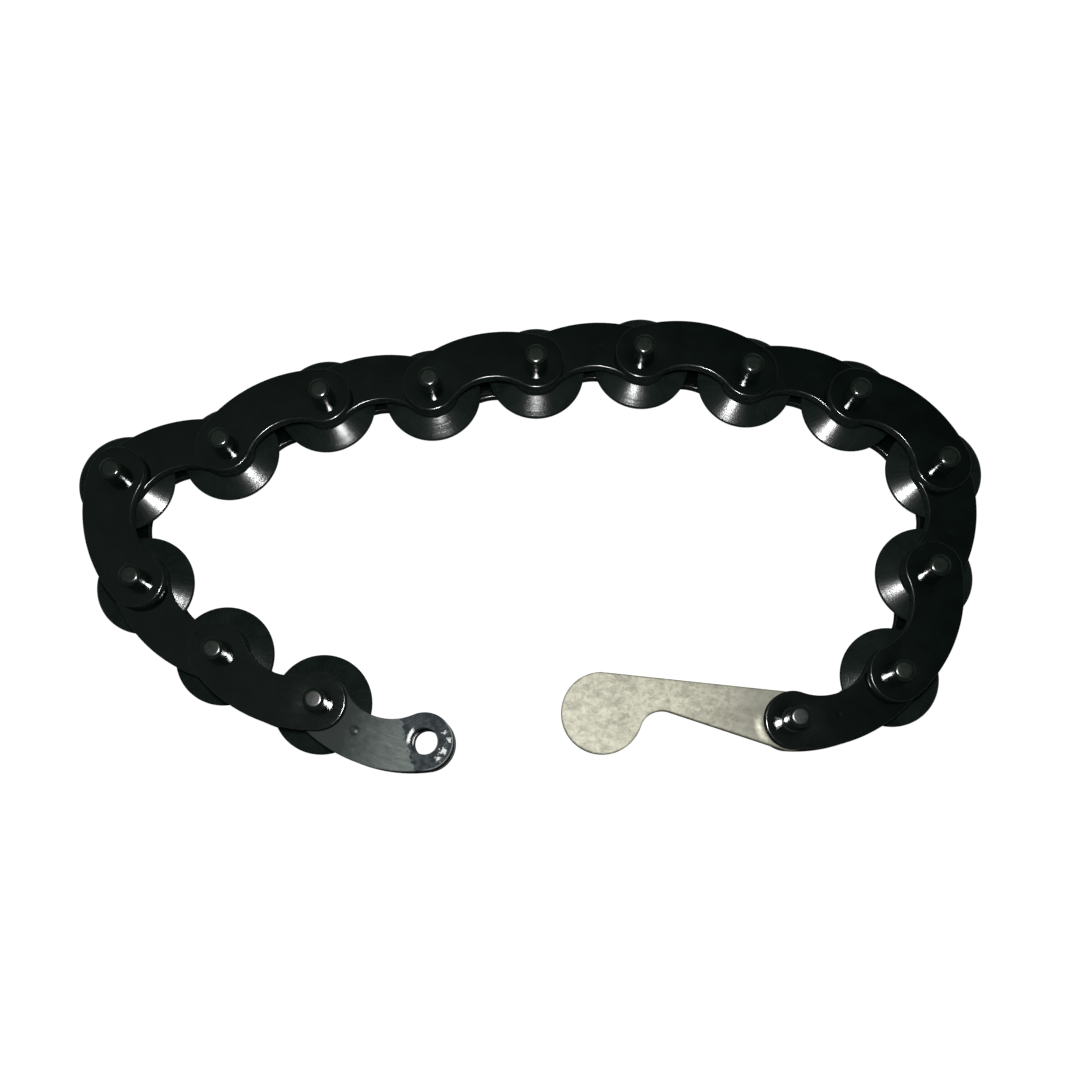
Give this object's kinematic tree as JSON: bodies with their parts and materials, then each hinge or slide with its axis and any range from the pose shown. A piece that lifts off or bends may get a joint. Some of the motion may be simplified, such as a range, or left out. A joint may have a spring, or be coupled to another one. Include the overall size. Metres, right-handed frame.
{
  "type": "cutter wheel chain",
  "caption": "Open chain of arched link-plate pairs with a sharp steel cutting wheel on each pin, a forked free end and a flat hook tab that a clamping tool draws tight round a pipe.",
  "frame": {"origin": "middle of the resting chain's footprint, on the plane that its pin heads stand on", "axes": "+Z along the pins, from their slotted heads to their turned-down ends; +X along the loop's long side, from the free end's side to the hook tab's side; +Y from the opening between the two ends towards the back of the loop"},
  "size_m": [0.2814, 0.1432, 0.033],
  "materials": {
    "black_plate": "glossy oiled black oxide",
    "cutter_steel": "turned, hardened, black oxide",
    "pin_steel": "satin dark steel",
    "zinc_tab": "dull mottled zinc plating"
  },
  "bodies": {
    "link_01": {"link_01_upper_plate": "black_plate", "link_01_lower_plate": "black_plate"},
    "link_02": {"link_02_upper_plate": "black_plate", "link_02_lower_plate": "black_plate", "link_02_pins": "pin_steel"},
    "link_03": {"link_03_upper_plate": "black_plate", "link_03_lower_plate": "black_plate"},
    "link_04": {"link_04_upper_plate": "black_plate", "link_04_lower_plate": "black_plate", "link_04_pins": "pin_steel"},
    "link_05": {"link_05_upper_plate": "black_plate", "link_05_lower_plate": "black_plate"},
    "link_06": {"link_06_upper_plate": "black_plate", "link_06_lower_plate": "black_plate", "link_06_pins": "pin_steel"},
    "link_07": {"link_07_upper_plate": "black_plate", "link_07_lower_plate": "black_plate"},
    "link_08": {"link_08_upper_plate": "black_plate", "link_08_lower_plate": "black_plate", "link_08_pins": "pin_steel"},
    "link_09": {"link_09_upper_plate": "black_plate", "link_09_lower_plate": "black_plate"},
    "link_10": {"link_10_upper_plate": "black_plate", "link_10_lower_plate": "black_plate", "link_10_pins": "pin_steel"},
    "link_11": {"link_11_upper_plate": "black_plate", "link_11_lower_plate": "black_plate"},
    "link_12": {"link_12_upper_plate": "black_plate", "link_12_lower_plate": "black_plate", "link_12_pins": "pin_steel"},
    "link_13": {"link_13_upper_plate": "black_plate", "link_13_lower_plate": "black_plate"},
    "link_14": {"link_14_upper_plate": "black_plate", "link_14_lower_plate": "black_plate", "link_14_pins": "pin_steel"},
    "link_15": {"link_15_upper_plate": "black_plate", "link_15_lower_plate": "black_plate", "tab_pin": "pin_steel", "tab_spacers": "black_plate"},
    "tab": {"hook_tab": "zinc_tab"},
    "wheel_01": {"cutter_wheel_01": "cutter_steel"},
    "wheel_02": {"cutter_wheel_02": "cutter_steel"},
    "wheel_03": {"cutter_wheel_03": "cutter_steel"},
    "wheel_04": {"cutter_wheel_04": "cutter_steel"},
    "wheel_05": {"cutter_wheel_05": "cutter_steel"},
    "wheel_06": {"cutter_wheel_06": "cutter_steel"},
    "wheel_07": {"cutter_wheel_07": "cutter_steel"},
    "wheel_08": {"cutter_wheel_08": "cutter_steel"},
    "wheel_09": {"cutter_wheel_09": "cutter_steel"},
    "wheel_10": {"cutter_wheel_10": "cutter_steel"},
    "wheel_11": {"cutter_wheel_11": "cutter_steel"},
    "wheel_12": {"cutter_wheel_12": "cutter_steel"},
    "wheel_13": {"cutter_wheel_13": "cutter_steel"},
    "wheel_14": {"cutter_wheel_14": "cutter_steel"}
  },
  "joints": [
    {"name": "pivot_01", "type": "hinge", "parent": "link_02", "child": "link_01", "pos_m": [-0.06249, -0.05135, 0.0147], "axis": [0, 0, 1], "range_deg": [-96, 104]},
    {"name": "pivot_02", "type": "hinge", "parent": "link_03", "child": "link_02", "pos_m": [-0.09251, -0.0367, 0.0147], "axis": [0, 0, -1], "range_deg": [-80.5, 104.5]},
    {"name": "pivot_03", "type": "hinge", "parent": "link_04", "child": "link_03", "pos_m": [-0.11791, -0.01501, 0.0147], "axis": [0, 0, 1], "range_deg": [-126, 44]},
    {"name": "pivot_04", "type": "hinge", "parent": "link_05", "child": "link_04", "pos_m": [-0.1257, 0.01747, 0.0147], "axis": [0, 0, -1], "range_deg": [-23, 177]},
    {"name": "pivot_05", "type": "hinge", "parent": "link_06", "child": "link_05", "pos_m": [-0.09368, 0.02695, 0.0147], "axis": [0, 0, 1], "range_deg": [-79, 56]},
    {"name": "pivot_06", "type": "hinge", "parent": "link_07", "child": "link_06", "pos_m": [-0.06405, 0.04237, 0.0147], "axis": [0, 0, -1], "range_deg": [-64, 111]},
    {"name": "pivot_07", "type": "hinge", "parent": "link_08", "child": "link_07", "pos_m": [-0.03087, 0.04615, 0.0147], "axis": [0, 0, 1], "range_deg": [-84, 26]},
    {"name": "pivot_08", "type": "hinge", "parent": "link_08", "child": "link_09", "pos_m": [0.00174, 0.05338, 0.0147], "axis": [0, 0, 1], "range_deg": [-23, 97]},
    {"name": "pivot_09", "type": "hinge", "parent": "link_09", "child": "link_10", "pos_m": [0.03499, 0.05659, 0.0147], "axis": [0, 0, -1], "range_deg": [-106, 39]},
    {"name": "pivot_10", "type": "hinge", "parent": "link_10", "child": "link_11", "pos_m": [0.06783, 0.0505, 0.0147], "axis": [0, 0, 1], "range_deg": [-42, 93]},
    {"name": "pivot_11", "type": "hinge", "parent": "link_11", "child": "link_12", "pos_m": [0.10031, 0.0427, 0.0147], "axis": [0, 0, -1], "range_deg": [-117, 33]},
    {"name": "pivot_12", "type": "hinge", "parent": "link_12", "child": "link_13", "pos_m": [0.1257, 0.02101, 0.0147], "axis": [0, 0, 1], "range_deg": [-32, 148]},
    {"name": "pivot_13", "type": "hinge", "parent": "link_13", "child": "link_14", "pos_m": [0.12077, -0.01202, 0.0147], "axis": [0, 0, -1], "range_deg": [-103, 42]},
    {"name": "pivot_14", "type": "hinge", "parent": "link_14", "child": "link_15", "pos_m": [0.10852, -0.0431, 0.0147], "axis": [0, 0, 1], "range_deg": [-50, 135]},
    {"name": "pivot_15", "type": "hinge", "parent": "link_15", "child": "tab", "pos_m": [0.0779, -0.05642, 0.0147], "axis": [0, 0, -1], "range_deg": [-116, 84]},
    {"name": "wheel_01_spin", "type": "hinge", "parent": "link_02", "child": "wheel_01", "pos_m": [-0.06249, -0.05135, 0.0147], "axis": [0, 0, 1], "continuous": true},
    {"name": "wheel_02_spin", "type": "hinge", "parent": "link_02", "child": "wheel_02", "pos_m": [-0.09251, -0.0367, 0.0147], "axis": [0, 0, 1], "continuous": true},
    {"name": "wheel_03_spin", "type": "hinge", "parent": "link_04", "child": "wheel_03", "pos_m": [-0.11791, -0.01501, 0.0147], "axis": [0, 0, 1], "continuous": true},
    {"name": "wheel_04_spin", "type": "hinge", "parent": "link_04", "child": "wheel_04", "pos_m": [-0.1257, 0.01747, 0.0147], "axis": [0, 0, 1], "continuous": true},
    {"name": "wheel_05_spin", "type": "hinge", "parent": "link_06", "child": "wheel_05", "pos_m": [-0.09368, 0.02695, 0.0147], "axis": [0, 0, 1], "continuous": true},
    {"name": "wheel_06_spin", "type": "hinge", "parent": "link_06", "child": "wheel_06", "pos_m": [-0.06405, 0.04237, 0.0147], "axis": [0, 0, 1], "continuous": true},
    {"name": "wheel_07_spin", "type": "hinge", "parent": "link_08", "child": "wheel_07", "pos_m": [-0.03087, 0.04615, 0.0147], "axis": [0, 0, 1], "continuous": true},
    {"name": "wheel_08_spin", "type": "hinge", "parent": "link_08", "child": "wheel_08", "pos_m": [0.00174, 0.05338, 0.0147], "axis": [0, 0, 1], "continuous": true},
    {"name": "wheel_09_spin", "type": "hinge", "parent": "link_10", "child": "wheel_09", "pos_m": [0.03499, 0.05659, 0.0147], "axis": [0, 0, 1], "continuous": true},
    {"name": "wheel_10_spin", "type": "hinge", "parent": "link_10", "child": "wheel_10", "pos_m": [0.06783, 0.0505, 0.0147], "axis": [0, 0, 1], "continuous": true},
    {"name": "wheel_11_spin", "type": "hinge", "parent": "link_12", "child": "wheel_11", "pos_m": [0.10031, 0.0427, 0.0147], "axis": [0, 0, 1], "continuous": true},
    {"name": "wheel_12_spin", "type": "hinge", "parent": "link_12", "child": "wheel_12", "pos_m": [0.1257, 0.02101, 0.0147], "axis": [0, 0, 1], "continuous": true},
    {"name": "wheel_13_spin", "type": "hinge", "parent": "link_14", "child": "wheel_13", "pos_m": [0.12077, -0.01202, 0.0147], "axis": [0, 0, 1], "continuous": true},
    {"name": "wheel_14_spin", "type": "hinge", "parent": "link_14", "child": "wheel_14", "pos_m": [0.10852, -0.0431, 0.0147], "axis": [0, 0, 1], "continuous": true}
  ]
}
